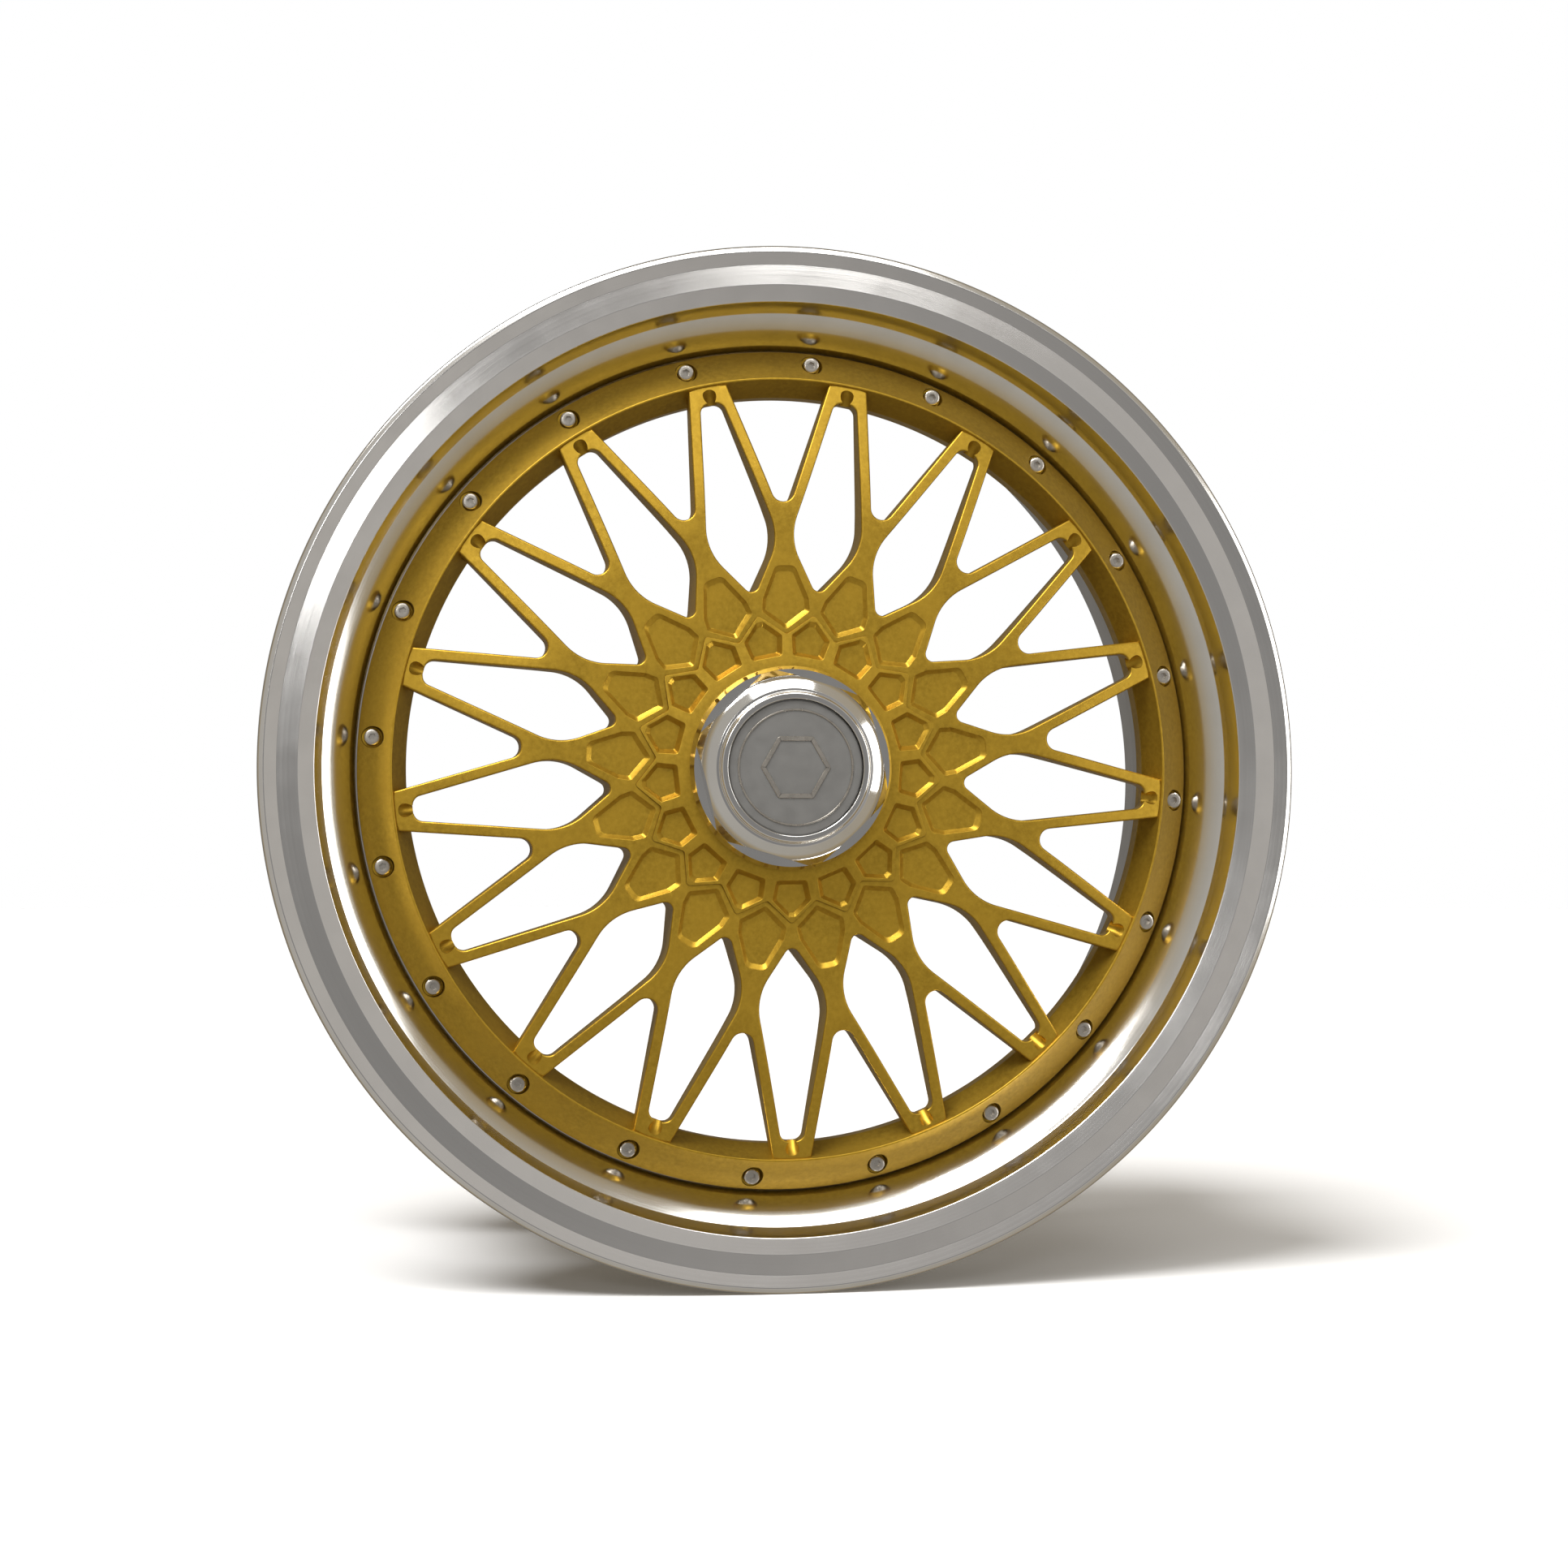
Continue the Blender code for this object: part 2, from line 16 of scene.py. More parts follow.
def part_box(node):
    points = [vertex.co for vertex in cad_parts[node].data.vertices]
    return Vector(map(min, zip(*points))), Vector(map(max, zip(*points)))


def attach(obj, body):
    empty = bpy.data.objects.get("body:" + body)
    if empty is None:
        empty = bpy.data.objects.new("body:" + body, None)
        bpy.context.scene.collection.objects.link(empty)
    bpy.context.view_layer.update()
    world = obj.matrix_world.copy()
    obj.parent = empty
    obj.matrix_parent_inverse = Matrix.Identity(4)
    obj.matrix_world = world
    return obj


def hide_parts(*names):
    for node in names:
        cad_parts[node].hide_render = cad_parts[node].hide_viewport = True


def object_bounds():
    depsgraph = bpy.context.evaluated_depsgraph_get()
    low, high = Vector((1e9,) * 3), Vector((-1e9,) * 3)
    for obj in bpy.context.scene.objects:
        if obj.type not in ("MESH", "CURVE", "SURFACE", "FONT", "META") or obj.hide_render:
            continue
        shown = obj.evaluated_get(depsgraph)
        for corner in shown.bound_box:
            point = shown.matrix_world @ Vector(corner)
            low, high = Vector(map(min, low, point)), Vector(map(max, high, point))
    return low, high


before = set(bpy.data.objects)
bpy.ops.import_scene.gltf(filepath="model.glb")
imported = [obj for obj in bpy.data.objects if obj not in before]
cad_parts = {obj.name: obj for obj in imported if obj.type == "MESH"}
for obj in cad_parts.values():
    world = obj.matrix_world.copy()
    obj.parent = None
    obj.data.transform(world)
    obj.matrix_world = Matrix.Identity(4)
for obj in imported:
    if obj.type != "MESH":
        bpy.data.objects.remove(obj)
CAD_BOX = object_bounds()

MM = 0.001
FULL_TURN = 2 * math.pi

# Driving stations and radii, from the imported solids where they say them
RIM_DEPTH = (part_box("inner_rim_half")[1].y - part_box("outer_rim_half")[0].y) / MM
LIP_FRONT = 22.8
MID_STATION = LIP_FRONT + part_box("outer_rim_half")[0].y / MM
RIM_BACK = LIP_FRONT - RIM_DEPTH
HALF_FLANGE_R = 186.6
DISC_BACK = -12.0
GAP = 0.3                       # clearance between touching pieces
JOINT_STATION = DISC_BACK - GAP - 7.0
WELL_R = 208.0
WALL = 5.5                      # of the barrel's well

SPOKES = 17
PETAL_ANGLE = math.radians(16.94)
SPOKE_PITCH = FULL_TURN / SPOKES
STEM_ANGLE = PETAL_ANGLE + SPOKE_PITCH / 2
RIDGE_R = 186.3
RIDGE_STATION = 10.4
RING_WALL_R = 179.3
HUB_FRONT = 20.6
HUB_PAD_R = 78.0
HUB_FACE = -36.0
EDGE_ROUND = 0.9                # fillet along the spokes' front edges
SEAM = 0.07                     # clearance around the honeycomb cover where it meets the disc's face

BOLTS = 20
BOLT_CIRCLE_R = 195.6
BOLT_ANGLE = math.radians(13.76)
BOLT_HOLE_R = 3.3
COUNTERBORE_R = 5.2
COUNTERBORE_FLOOR = -5.5

LUGS = 5
LUG_CIRCLE_R = 50.0
COVER_PEAK_R = 73.8
COVER_VALLEY_R = 63.5
COVER_BACK = 14.5
COVER_CROWN = 23.4
CAP_FLANGE_R = 48.3
CAP_TOP = 42.5
EMBLEM_R = 31.7
FLAT_APOTHEM = 42.0             # of the six flats on the centre nut
FLAT_FLOOR = 31.0
FLAT_ANGLE = math.radians(13.6)

VALVE_ANGLE = PETAL_ANGLE + 8 * SPOKE_PITCH
VALVE_STATION = -43.5

# The camera, in the wheel's frame: where it stands and how it is turned
CAMERA_DISTANCE = 1411.5
CAMERA_YAW = math.radians(9.25)
CAMERA_PITCH = math.radians(-1.09)
CAMERA_SLIDE = (1.0, -7.02)     # sideways and upwards, across its own view
CAMERA_LENS = 67.4


# ---------------------------------------------------------------- points and outlines

def place(points):
    """Wheel-frame points (x, y, station) in millimetres, as world points in metres."""
    p = np.asarray(points, float).reshape(-1, 3)
    return np.stack([p[:, 0], MID_STATION - p[:, 2], p[:, 1]], axis=1) * MM


def circle(radius, sides, centre=(0.0, 0.0), start=0.0):
    a = start + FULL_TURN * np.arange(sides) / sides
    return np.stack([centre[0] + radius * np.cos(a), centre[1] + radius * np.sin(a)], axis=1)


def rounded(corners, steps=8):
    """A closed outline of (x, y, corner radius), with each corner rounded by an arc."""
    outline = []
    count = len(corners)
    for i, (x, y, radius) in enumerate(corners):
        here = Vector((x, y))
        before = (Vector(corners[i - 1][:2]) - here).normalized()
        after = (Vector(corners[(i + 1) % count][:2]) - here).normalized()
        if radius == 0:
            outline.append((x, y))
            continue
        half = before.angle(after) / 2
        centre = here + (before + after).normalized() * (radius / math.sin(half))
        first = here + before * (radius / math.tan(half)) - centre
        last = here + after * (radius / math.tan(half)) - centre
        sweep = first.angle_signed(last)
        for k in range(steps + 1):
            outline.append(tuple(centre + Matrix.Rotation(-sweep * k / steps, 2) @ first))
    return outline


def mirrored(corners):
    other = [(x, -y, radius) for x, y, radius in reversed(corners) if y != 0]
    return corners + other


def evened(outline, spacing):
    """The same closed outline with long straight runs divided into even steps."""
    dense = []
    for i, a in enumerate(outline):
        b = outline[(i + 1) % len(outline)]
        length = math.dist(a, b)
        parts = max(1, round(length / spacing))
        for k in range(parts):
            dense.append((a[0] + (b[0] - a[0]) * k / parts, a[1] + (b[1] - a[1]) * k / parts))
    return np.array(dense)


def turned_by(outline, angle):
    c, s = math.cos(angle), math.sin(angle)
    p = np.asarray(outline)
    return np.stack([p[:, 0] * c - p[:, 1] * s, p[:, 0] * s + p[:, 1] * c], axis=1)


def signed_area(loop):
    x, y = loop[:, 0], loop[:, 1]
    return 0.5 * float(np.sum(x * np.roll(y, -1) - np.roll(x, -1) * y))


def grown(loop, distance):
    """The loop moved outward by a distance, or inward if it is negative, with mitred corners."""
    loop = np.asarray(loop)
    ahead = np.roll(loop, -1, axis=0) - loop
    behind = loop - np.roll(loop, 1, axis=0)
    ahead /= np.linalg.norm(ahead, axis=1)[:, None]
    behind /= np.linalg.norm(behind, axis=1)[:, None]
    side = 1.0 if signed_area(loop) > 0 else -1.0
    normal = np.stack([(ahead + behind)[:, 1], -(ahead + behind)[:, 0]], axis=1) * side
    length = np.linalg.norm(normal, axis=1)[:, None]
    half_cos = np.clip(length / 2, 0.5, 1.0)
    return loop + normal / length * distance / half_cos


def raised(loop, station):
    """A flat loop as points in the wheel's frame; station is a number or a function of radius."""
    loop = np.asarray(loop)
    if callable(station):
        heights = station(np.hypot(loop[:, 0], loop[:, 1]))
    else:
        heights = np.full(len(loop), float(station))
    return np.column_stack([loop, heights])


# ---------------------------------------------------------------- meshes

class Shape:
    """Points and faces in the wheel's frame, gathered piece by piece and then made one mesh."""

    def __init__(self):
        self.points = []
        self.faces = []

    def add(self, points):
        first = len(self.points)
        self.points.extend(map(tuple, np.asarray(points)))
        return first

    def loft(self, loops, closed=False):
        """Quads between each loop and the next; all loops have the same number of points."""
        firsts = [self.add(loop) for loop in loops]
        count = len(loops[0])
        pairs = list(zip(firsts, firsts[1:]))
        if closed:
            pairs.append((firsts[-1], firsts[0]))
        for a, b in pairs:
            for i in range(count):
                j = (i + 1) % count
                self.faces.append((a + i, a + j, b + j, b + i))

    def cap(self, loop):
        first = self.add(loop)
        self.faces.append(tuple(range(first, first + len(loop))))

    def fill(self, outer, holes, samples, station):
        """A surface between flat loops, with inner sample points, raised to station(radius)."""
        loops = [np.asarray(loop) for loop in [outer, *holes]]
        loops = [loop if signed_area(loop) > 0 else loop[::-1] for loop in loops]
        flat = np.concatenate(loops)
        tree = kdtree.KDTree(len(flat))
        for i, p in enumerate(flat):
            tree.insert((p[0], p[1], 0.0), i)
        tree.balance()
        kept = [p for p in samples if tree.find((p[0], p[1], 0.0))[2] > 1.4]
        points = [Vector(p) for p in flat] + [Vector(p) for p in kept]
        rings = []
        start = 0
        for loop in loops:
            rings.append(list(range(start, start + len(loop))))
            start += len(loop)
        found = delaunay_2d_cdt(points, [], rings, 0, 1e-5)
        corners = np.array([tuple(v) for v in found[0]])
        first = self.add(raised(corners, station))
        for face, owners in zip(found[2], found[5]):
            if owners == [0]:
                self.faces.append(tuple(first + i for i in face))

    def mesh(self, name, sharp=35.0, to_world=place):
        mesh = bpy.data.meshes.new(name)
        work = bmesh.new()
        points = [work.verts.new(p) for p in to_world(self.points)]
        for face in self.faces:
            work.faces.new([points[i] for i in face])
        bmesh.ops.remove_doubles(work, verts=work.verts, dist=0.000002)
        bmesh.ops.dissolve_degenerate(work, edges=work.edges, dist=0.000001)
        loose = [v for v in work.verts if not v.link_faces]
        bmesh.ops.delete(work, geom=loose, context="VERTS")
        bmesh.ops.recalc_face_normals(work, faces=work.faces)
        work.to_mesh(mesh)
        work.free()
        smooth(mesh, sharp)
        return mesh


def smooth(mesh, sharp=35.0):
    mesh.shade_smooth()
    mesh.set_sharp_from_angle(angle=math.radians(sharp))


def lathe_mesh(name, profile, steps, sharp=35.0, centre=(0.0, 0.0), to_world=place):
    """A turned mesh of (radius, station) points; it is closed by the axis or by its own loop."""
    shape = Shape()
    loops = []
    open_ends = profile[0][0] == 0 and profile[-1][0] == 0
    inner = profile[1:-1] if open_ends else profile
    for radius, station in inner:
        loops.append(raised(circle(radius, steps, centre), station))
    shape.loft(loops, closed=not open_ends)
    if open_ends:
        for loop, end in ((loops[0], profile[0]), (loops[-1], profile[-1])):
            tip = shape.add([(centre[0], centre[1], end[1])])
            first = shape.add(loop)
            for i in range(steps):
                shape.faces.append((first + i, first + (i + 1) % steps, tip))
    return shape.mesh(name, sharp, to_world)


def prism_mesh(name, loops, low, high, to_world=place):
    shape = Shape()
    for loop in loops:
        shape.loft([raised(loop, low), raised(loop, high)])
        shape.cap(raised(loop, low))
        shape.cap(raised(loop, high))
    return shape.mesh(name, to_world=to_world)


def new_object(name, mesh):
    piece = bpy.data.objects.new(name, mesh)
    bpy.context.scene.collection.objects.link(piece)
    return piece


def combine(piece, mesh, operation="DIFFERENCE", sharp=35.0):
    """Cuts a mesh from the piece, or joins it on, and applies the result."""
    other = new_object("combine_tool", mesh)
    step = piece.modifiers.new("combine", "BOOLEAN")
    step.object = other
    step.operation = operation
    step.solver = "MANIFOLD"
    bpy.context.view_layer.update()
    made = piece.evaluated_get(bpy.context.evaluated_depsgraph_get())
    result = bpy.data.meshes.new_from_object(made)
    piece.modifiers.clear()
    piece.data = result
    bpy.data.objects.remove(other, do_unlink=True)
    smooth(piece.data, sharp)
    return piece


def weighted(piece):
    step = piece.modifiers.new("even_normals", "WEIGHTED_NORMAL")
    step.keep_sharp = True
    step.weight = 60
    return piece


def finish_piece(piece, material, body, slot, *nodes):
    piece.data.materials.clear()
    piece.data.materials.append(material)
    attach(piece, body)
    if nodes:
        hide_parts(*nodes)
    return piece


# ---------------------------------------------------------------- the centre disc

FLAT_SLOPE = 0.0167             # how much the spokes' front falls for each millimetre outward
RAKE_SLOPE = 0.19
BEND_FROM, BEND_TO = 118.0, 146.0
WEB_R = 190.0                   # where the web ends, inside the ring


def web_front(r):
    """The spokes' front face: nearly flat from the hub, then raked back towards the ring."""
    r = np.asarray(r, float)
    bend = np.clip(r - BEND_FROM, 0, BEND_TO - BEND_FROM)
    height = HUB_FRONT - FLAT_SLOPE * np.clip(r - HUB_PAD_R, 0, None)
    past_bend = np.clip(r - BEND_TO, 0, None)
    height = height - (RAKE_SLOPE - FLAT_SLOPE) * (bend**2 / (2 * (BEND_TO - BEND_FROM)) + past_bend)
    tuck = np.clip(r - RIDGE_R, 0, None)
    return height - 1.4 * tuck


def web_back(r):
    return np.interp(r, [78.0, 78.6, 79.6, 81.0, 83.0, 85.6, 89.0, 95.0, 119.0, 127.0, 135.0, WEB_R],
                     [HUB_FACE, -30.0, -23.0, -17.5, -13.3, -10.9, -9.1, -7.0, 0.6, 2.1, 2.3, 0.4])


def cover_front(r):
    return np.interp(r, [0.0, 49.3, 84.0], [COVER_CROWN, COVER_CROWN, 20.0])


def polar_samples(inner, outer, spacing):
    samples = []
    r = inner
    while r < outer:
        count = max(12, round(FULL_TURN * r / spacing))
        samples.extend(circle(r, count, start=r))
        r += spacing
    return samples


def petal_window():
    return evened(rounded(mirrored([(82.7, 0, 3.6), (108.4, 17.6, 27), (177.4, 5.3, 4.6)]), 12), 2.0)


def triangle_window():
    reach = math.radians(7.83)  # half its angle where it runs in under the ring
    end_r = 187.3
    tip = [(116.9, 0, 5.4)]
    arc = [(end_r * math.cos(a), end_r * math.sin(a), 0) for a in np.linspace(reach, -reach, 16)]
    return evened(rounded(tip + arc, 10), 2.0)


def outer_cell():
    corners = [(66.3, 0, 1.4), (74.6, 11.3, 1.8), (80.5, 10.9, 3), (96.2, 4.6, 3.4)]
    return evened(rounded(mirrored(corners), 5), 1.2)


def inner_cell():
    return evened(rounded(mirrored([(53.2, 7.2, 1.3), (62.4, 9.2, 1.3), (70.2, 1.6, 1.2)]), 5), 1.0)


def star_outline():
    corners = []
    for k in range(SPOKES):
        for radius, angle, corner in ((COVER_PEAK_R, PETAL_ANGLE, 1.6), (COVER_VALLEY_R, STEM_ANGLE, 1.6)):
            a = angle + k * SPOKE_PITCH
            corners.append((radius * math.cos(a), radius * math.sin(a), corner))
    return evened(rounded(corners, 4), 1.6)


def all_around(outline, start):
    return [turned_by(outline, start + k * SPOKE_PITCH) for k in range(SPOKES)]


def edge_round(shape, loop, top, radius, inward, steps=5):
    """A quarter-round edge from a face down into a wall; returns the loop on the face and on the wall."""
    rows = []
    for k in range(steps + 1):
        a = math.pi / 2 * k / steps
        row = grown(loop, inward * radius * (1 - math.sin(a)))
        drop = radius * (1 - math.cos(a))
        rows.append(raised(row, lambda r, drop=drop: top(r) - drop))
    shape.loft(rows)
    return grown(loop, inward * radius), rows[-1]


def sunk_cell(shape, outline, top, floor, shrink):
    """A shallow cell with a rounded rim, a sloping wall and a flat floor; returns its rim loop."""
    rim, wall = edge_round(shape, outline, top, 0.35, 1, 3)
    centre = outline.mean(axis=0)
    foot = centre + (outline - centre) * shrink
    toe = centre + (outline - centre) * (shrink - 0.03)
    rows = [wall, raised(foot, floor + 0.25), raised(toe, floor)]
    shape.loft(rows)
    shape.cap(rows[-1])
    return rim


def make_centre_disc():
    shape = Shape()
    front_holes, back_holes = [], []
    for outline, start in ((petal_window(), PETAL_ANGLE), (triangle_window(), STEM_ANGLE)):
        for window in all_around(outline, start):
            rim, wall = edge_round(shape, window, web_front, EDGE_ROUND, 1)
            front_holes.append(rim)
            back_edge = 0.6
            low = raised(window, lambda r: web_back(r) + back_edge)
            mid = raised(grown(window, 0.18), lambda r: web_back(r) + 0.18)
            end = raised(grown(window, back_edge), web_back)
            shape.loft([wall, low, mid, end])
            back_holes.append(grown(window, back_edge))
    for cell in all_around(outer_cell(), STEM_ANGLE):
        front_holes.append(sunk_cell(shape, cell, web_front, 18.6, 0.86))

    seat = grown(star_outline(), SEAM)
    seat_floor = COVER_BACK - GAP
    rim, wall = edge_round(shape, seat, web_front, 0.1, 1, 2)
    front_holes.append(rim)
    shape.loft([wall, raised(seat, seat_floor)])
    seat_holes = []
    for k in range(LUGS):
        a = math.pi / 2 + FULL_TURN * k / LUGS
        centre = (LUG_CIRCLE_R * math.cos(a), LUG_CIRCLE_R * math.sin(a))
        steps = 48
        hole = ((12.4, seat_floor), (12.4, -13.2), (11.6, -14.0), (7.9, -14.0), (7.5, -14.4),
                (7.5, -35.2), (8.3, HUB_FACE))
        shape.loft([raised(circle(r, steps, centre), s) for r, s in hole])
        seat_holes.append(circle(12.4, steps, centre))
        back_holes.append(circle(8.3, steps, centre))
    bore = ((29.6, seat_floor), (29.6, -20.0), (36.3, -20.0), (36.3, -29.2), (37.7, -29.2), (37.7, -30.8),
            (36.3, -30.8), (36.3, -35.2), (37.1, HUB_FACE))
    shape.loft([raised(circle(r, 120), s) for r, s in bore])
    seat_holes.append(circle(29.6, 120))
    back_holes.append(circle(37.1, 120))
    shape.fill(seat, seat_holes, [], seat_floor)

    rim = circle(WEB_R, 340)
    shape.fill(rim, front_holes, polar_samples(64.0, WEB_R, 3.2), web_front)
    back_samples = polar_samples(78.6, 92.0, 1.7) + polar_samples(38.0, 78.0, 4.0)
    back_samples += polar_samples(92.0, WEB_R, 3.2)
    shape.fill(rim, back_holes, back_samples, web_back)
    shape.loft([raised(rim, web_front), raised(rim, web_back)])
    disc = new_object("centre_disc_looks", shape.mesh("centre_disc_looks"))

    ring = rounded([
        (202.2, -6.6, 0.6), (202.2, DISC_BACK, 0.5), (RING_WALL_R, DISC_BACK, 1.2),
        (RING_WALL_R, -2.0, 2.5), (RIDGE_R, RIDGE_STATION, 0.4), (187.1, RIDGE_STATION, 0.5)], 6)
    combine(disc, lathe_mesh("ring", ring, 340), "UNION")

    cuts = Shape()
    for k in range(BOLTS):
        a = BOLT_ANGLE + FULL_TURN * k / BOLTS
        centre = (BOLT_CIRCLE_R * math.cos(a), BOLT_CIRCLE_R * math.sin(a))
        hole = ((BOLT_HOLE_R, DISC_BACK - 2), (BOLT_HOLE_R, COUNTERBORE_FLOOR), (4.8, COUNTERBORE_FLOOR),
                (COUNTERBORE_R, -5.1), (COUNTERBORE_R, 12.0))
        rows = [raised(circle(r, 40, centre), s) for r, s in hole]
        cuts.loft(rows)
        cuts.cap(rows[0])
        cuts.cap(rows[-1])
    scoop = circle(1.0, 24)
    for k in range(SPOKES):
        a = PETAL_ANGLE + k * SPOKE_PITCH
        rows = []
        for r, wide, middle in (
            (170.0, 3.4, 5.8), (176.0, 3.4, 7.2), (182.0, 3.2, 10.2), (185.2, 3.0, 13.6),
        ):
            flat = turned_by(np.stack([np.full(24, r), scoop[:, 0] * wide], axis=1), a)
            rows.append(np.column_stack([flat, middle + scoop[:, 1] * wide]))
        cuts.loft(rows)
        cuts.cap(rows[0])
        cuts.cap(rows[-1])
    combine(disc, cuts.mesh("disc_cuts"))
    return weighted(disc)


def make_cover():
    shape = Shape()
    star = star_outline()
    cells = all_around(inner_cell(), PETAL_ANGLE)
    holes = [sunk_cell(shape, cell, cover_front, 19.6, 0.8) for cell in cells]
    rim, wall = edge_round(shape, star, cover_front, 0.12, -1, 2)
    foot = grown(star, -0.3)
    shape.loft([wall, raised(star, COVER_BACK + 0.3), raised(foot, COVER_BACK)])
    bore = circle(30.4, 120)
    shape.loft([raised(bore, COVER_CROWN), raised(bore, COVER_BACK)])
    shape.fill(rim, holes + [bore], polar_samples(46.0, 73.0, 2.4), cover_front)
    shape.fill(foot, [bore], [], COVER_BACK)
    return weighted(new_object("honeycomb_cover_looks", shape.mesh("honeycomb_cover_looks")))


# ---------------------------------------------------------------- rim, fasteners and hub parts

def bolt_hole_cutter(low, high):
    cuts = Shape()
    for k in range(BOLTS):
        a = BOLT_ANGLE + FULL_TURN * k / BOLTS
        hole = circle(BOLT_HOLE_R, 32, (BOLT_CIRCLE_R * math.cos(a), BOLT_CIRCLE_R * math.sin(a)))
        cuts.loft([raised(hole, low), raised(hole, high)])
        cuts.cap(raised(hole, low))
        cuts.cap(raised(hole, high))
    return cuts.mesh("bolt_holes")


def make_outer_half():
    profile = rounded([
        (248.3, 21.9, 1.5), (248.3, 13.4, 2.5), (243.8, 10.5, 2.5), (235.5, 10.5, 3.0),
        (232.0, 8.0, 2.0), (230.2, -9.5, 2.0), (231.9, -13.0, 1.6), (229.5, -16.5, 2.5),
        (217.0, JOINT_STATION, 1.0), (HALF_FLANGE_R, JOINT_STATION, 0.4),
        (HALF_FLANGE_R, DISC_BACK - GAP, 0.4), (202.9, DISC_BACK - GAP, 0.2), (203.4, -9.0, 0.8),
        (208.6, 1.6, 30.0), (218.8, 7.0, 0.7), (222.0, 19.8, 0.8), (229.8, 21.8, 0.9),
        (239.4, 21.2, 0.9), (245.4, LIP_FRONT, 1.4)], 6)
    half = new_object("outer_rim_half_looks", lathe_mesh("outer_rim_half_looks", profile, 360, 28))
    combine(half, bolt_hole_cutter(JOINT_STATION - 1, DISC_BACK + 1), sharp=28)
    return weighted(half)


def make_inner_half():
    front = JOINT_STATION - GAP
    back = front - 7.0
    profile = rounded([
        (WELL_R, front, 1.2), (WELL_R, -60.0, 12), (225.0, -90.0, 16), (226.0, -162.0, 5),
        (231.9, -169.0, 2.5), (230.2, -173.0, 3), (232.0, -190.0, 2), (235.5, -192.7, 3),
        (243.5, -192.7, 3), (248.3, -197.0, 2), (248.3, -203.0, 1.6), (245.5, RIM_BACK, 1.2),
        (238.0, RIM_BACK, 4), (225.0, -194.0, 14), (221.0, -162.0, 6), (220.3, -91.5, 16),
        (WELL_R - WALL, -61.5, 12), (WELL_R - WALL, back, 3),
        (HALF_FLANGE_R, back, 0.5), (HALF_FLANGE_R, front, 0.4)], 6)
    half = new_object("inner_rim_half_looks", lathe_mesh("inner_rim_half_looks", profile, 360, 28))
    combine(half, bolt_hole_cutter(back - 1, front + 1), sharp=28)
    seat = -(WELL_R - WALL + 0.3)
    hole = [(0, -212.0), (8.4, -212.0), (8.4, -207.2), (4.7, -207.2), (4.7, seat), (8.4, seat),
            (8.4, seat + 3.6), (0, seat + 3.6)]
    combine(half, lathe_mesh("valve_hole", hole, 64, to_world=valve_place), sharp=28)
    return weighted(half)


def valve_place(points):
    """Points in the valve's own frame, whose third value is minus the distance from the wheel's axis."""
    p = np.asarray(points, float).reshape(-1, 3)
    outward = np.array([math.cos(VALVE_ANGLE), 0.0, math.sin(VALVE_ANGLE)])
    along = np.array([0.0, 1.0, 0.0])
    across = np.cross(outward, along)
    start = np.array([0.0, MID_STATION - VALVE_STATION, 0.0])
    return (start + p[:, 0:1] * along + p[:, 1:2] * across - p[:, 2:3] * outward) * MM


def thread_profile(r, low, high, pitch, depth, inside=False):
    """Points of a run of thread ridges between two stations."""
    count = max(1, round(abs(high - low) / pitch))
    sign = 1 if inside else -1
    points = []
    for k in range(count):
        a = low + (high - low) * k / count
        b = low + (high - low) * (k + 0.5) / count
        points += [(r + sign * depth, a), (r, b)]
    points.append((r + sign * depth, high))
    return points


def make_bolt_mesh():
    profile = [(0, -33.0), (2.2, -33.0)]
    profile += thread_profile(2.9, -32.6, -24.6, 1.0, 0.35)
    profile += [(2.85, -24.2), (2.85, -5.45), (3.0, -5.2), (3.6, -5.2), (3.8, -5.0), (3.8, -1.0),
                (3.68, -0.55), (3.35, -0.28), (2.9, -0.2), (2.15, -0.2), (0, -0.2)]
    bolt = new_object("bolt", lathe_mesh("rim_bolt_looks", profile, 48))
    combine(bolt, prism_mesh("socket", [circle(1.9, 6)], -2.4, 1.0), sharp=30)
    mesh = bolt.data
    bpy.data.objects.remove(bolt, do_unlink=True)
    return mesh


def make_nut_mesh(corner_r, hole_r, low, high, to_world=place):
    """A hexagon nut with its corners chamfered on both faces and a countersunk hole."""
    nut = new_object("nut", prism_mesh("nut", [circle(corner_r, 6)], low, high, to_world))
    flat_r = corner_r * math.cos(math.pi / 6)
    fall = (corner_r - flat_r) * 0.6
    rounding = [(0, low), (flat_r - 0.1, low), (corner_r + 0.1, low + fall),
                (corner_r + 0.1, high - fall), (flat_r - 0.1, high), (0, high)]
    combine(nut, lathe_mesh("rounding", rounding, 48, to_world=to_world), "INTERSECT", 25)
    hole = [(0, low - 1), (hole_r + 1.4, low - 1), (hole_r, low + 0.4), (hole_r, high - 0.4),
            (hole_r + 1.4, high + 1), (0, high + 1)]
    combine(nut, lathe_mesh("hole", hole, 48, to_world=to_world), sharp=25)
    mesh = nut.data
    bpy.data.objects.remove(nut, do_unlink=True)
    return mesh


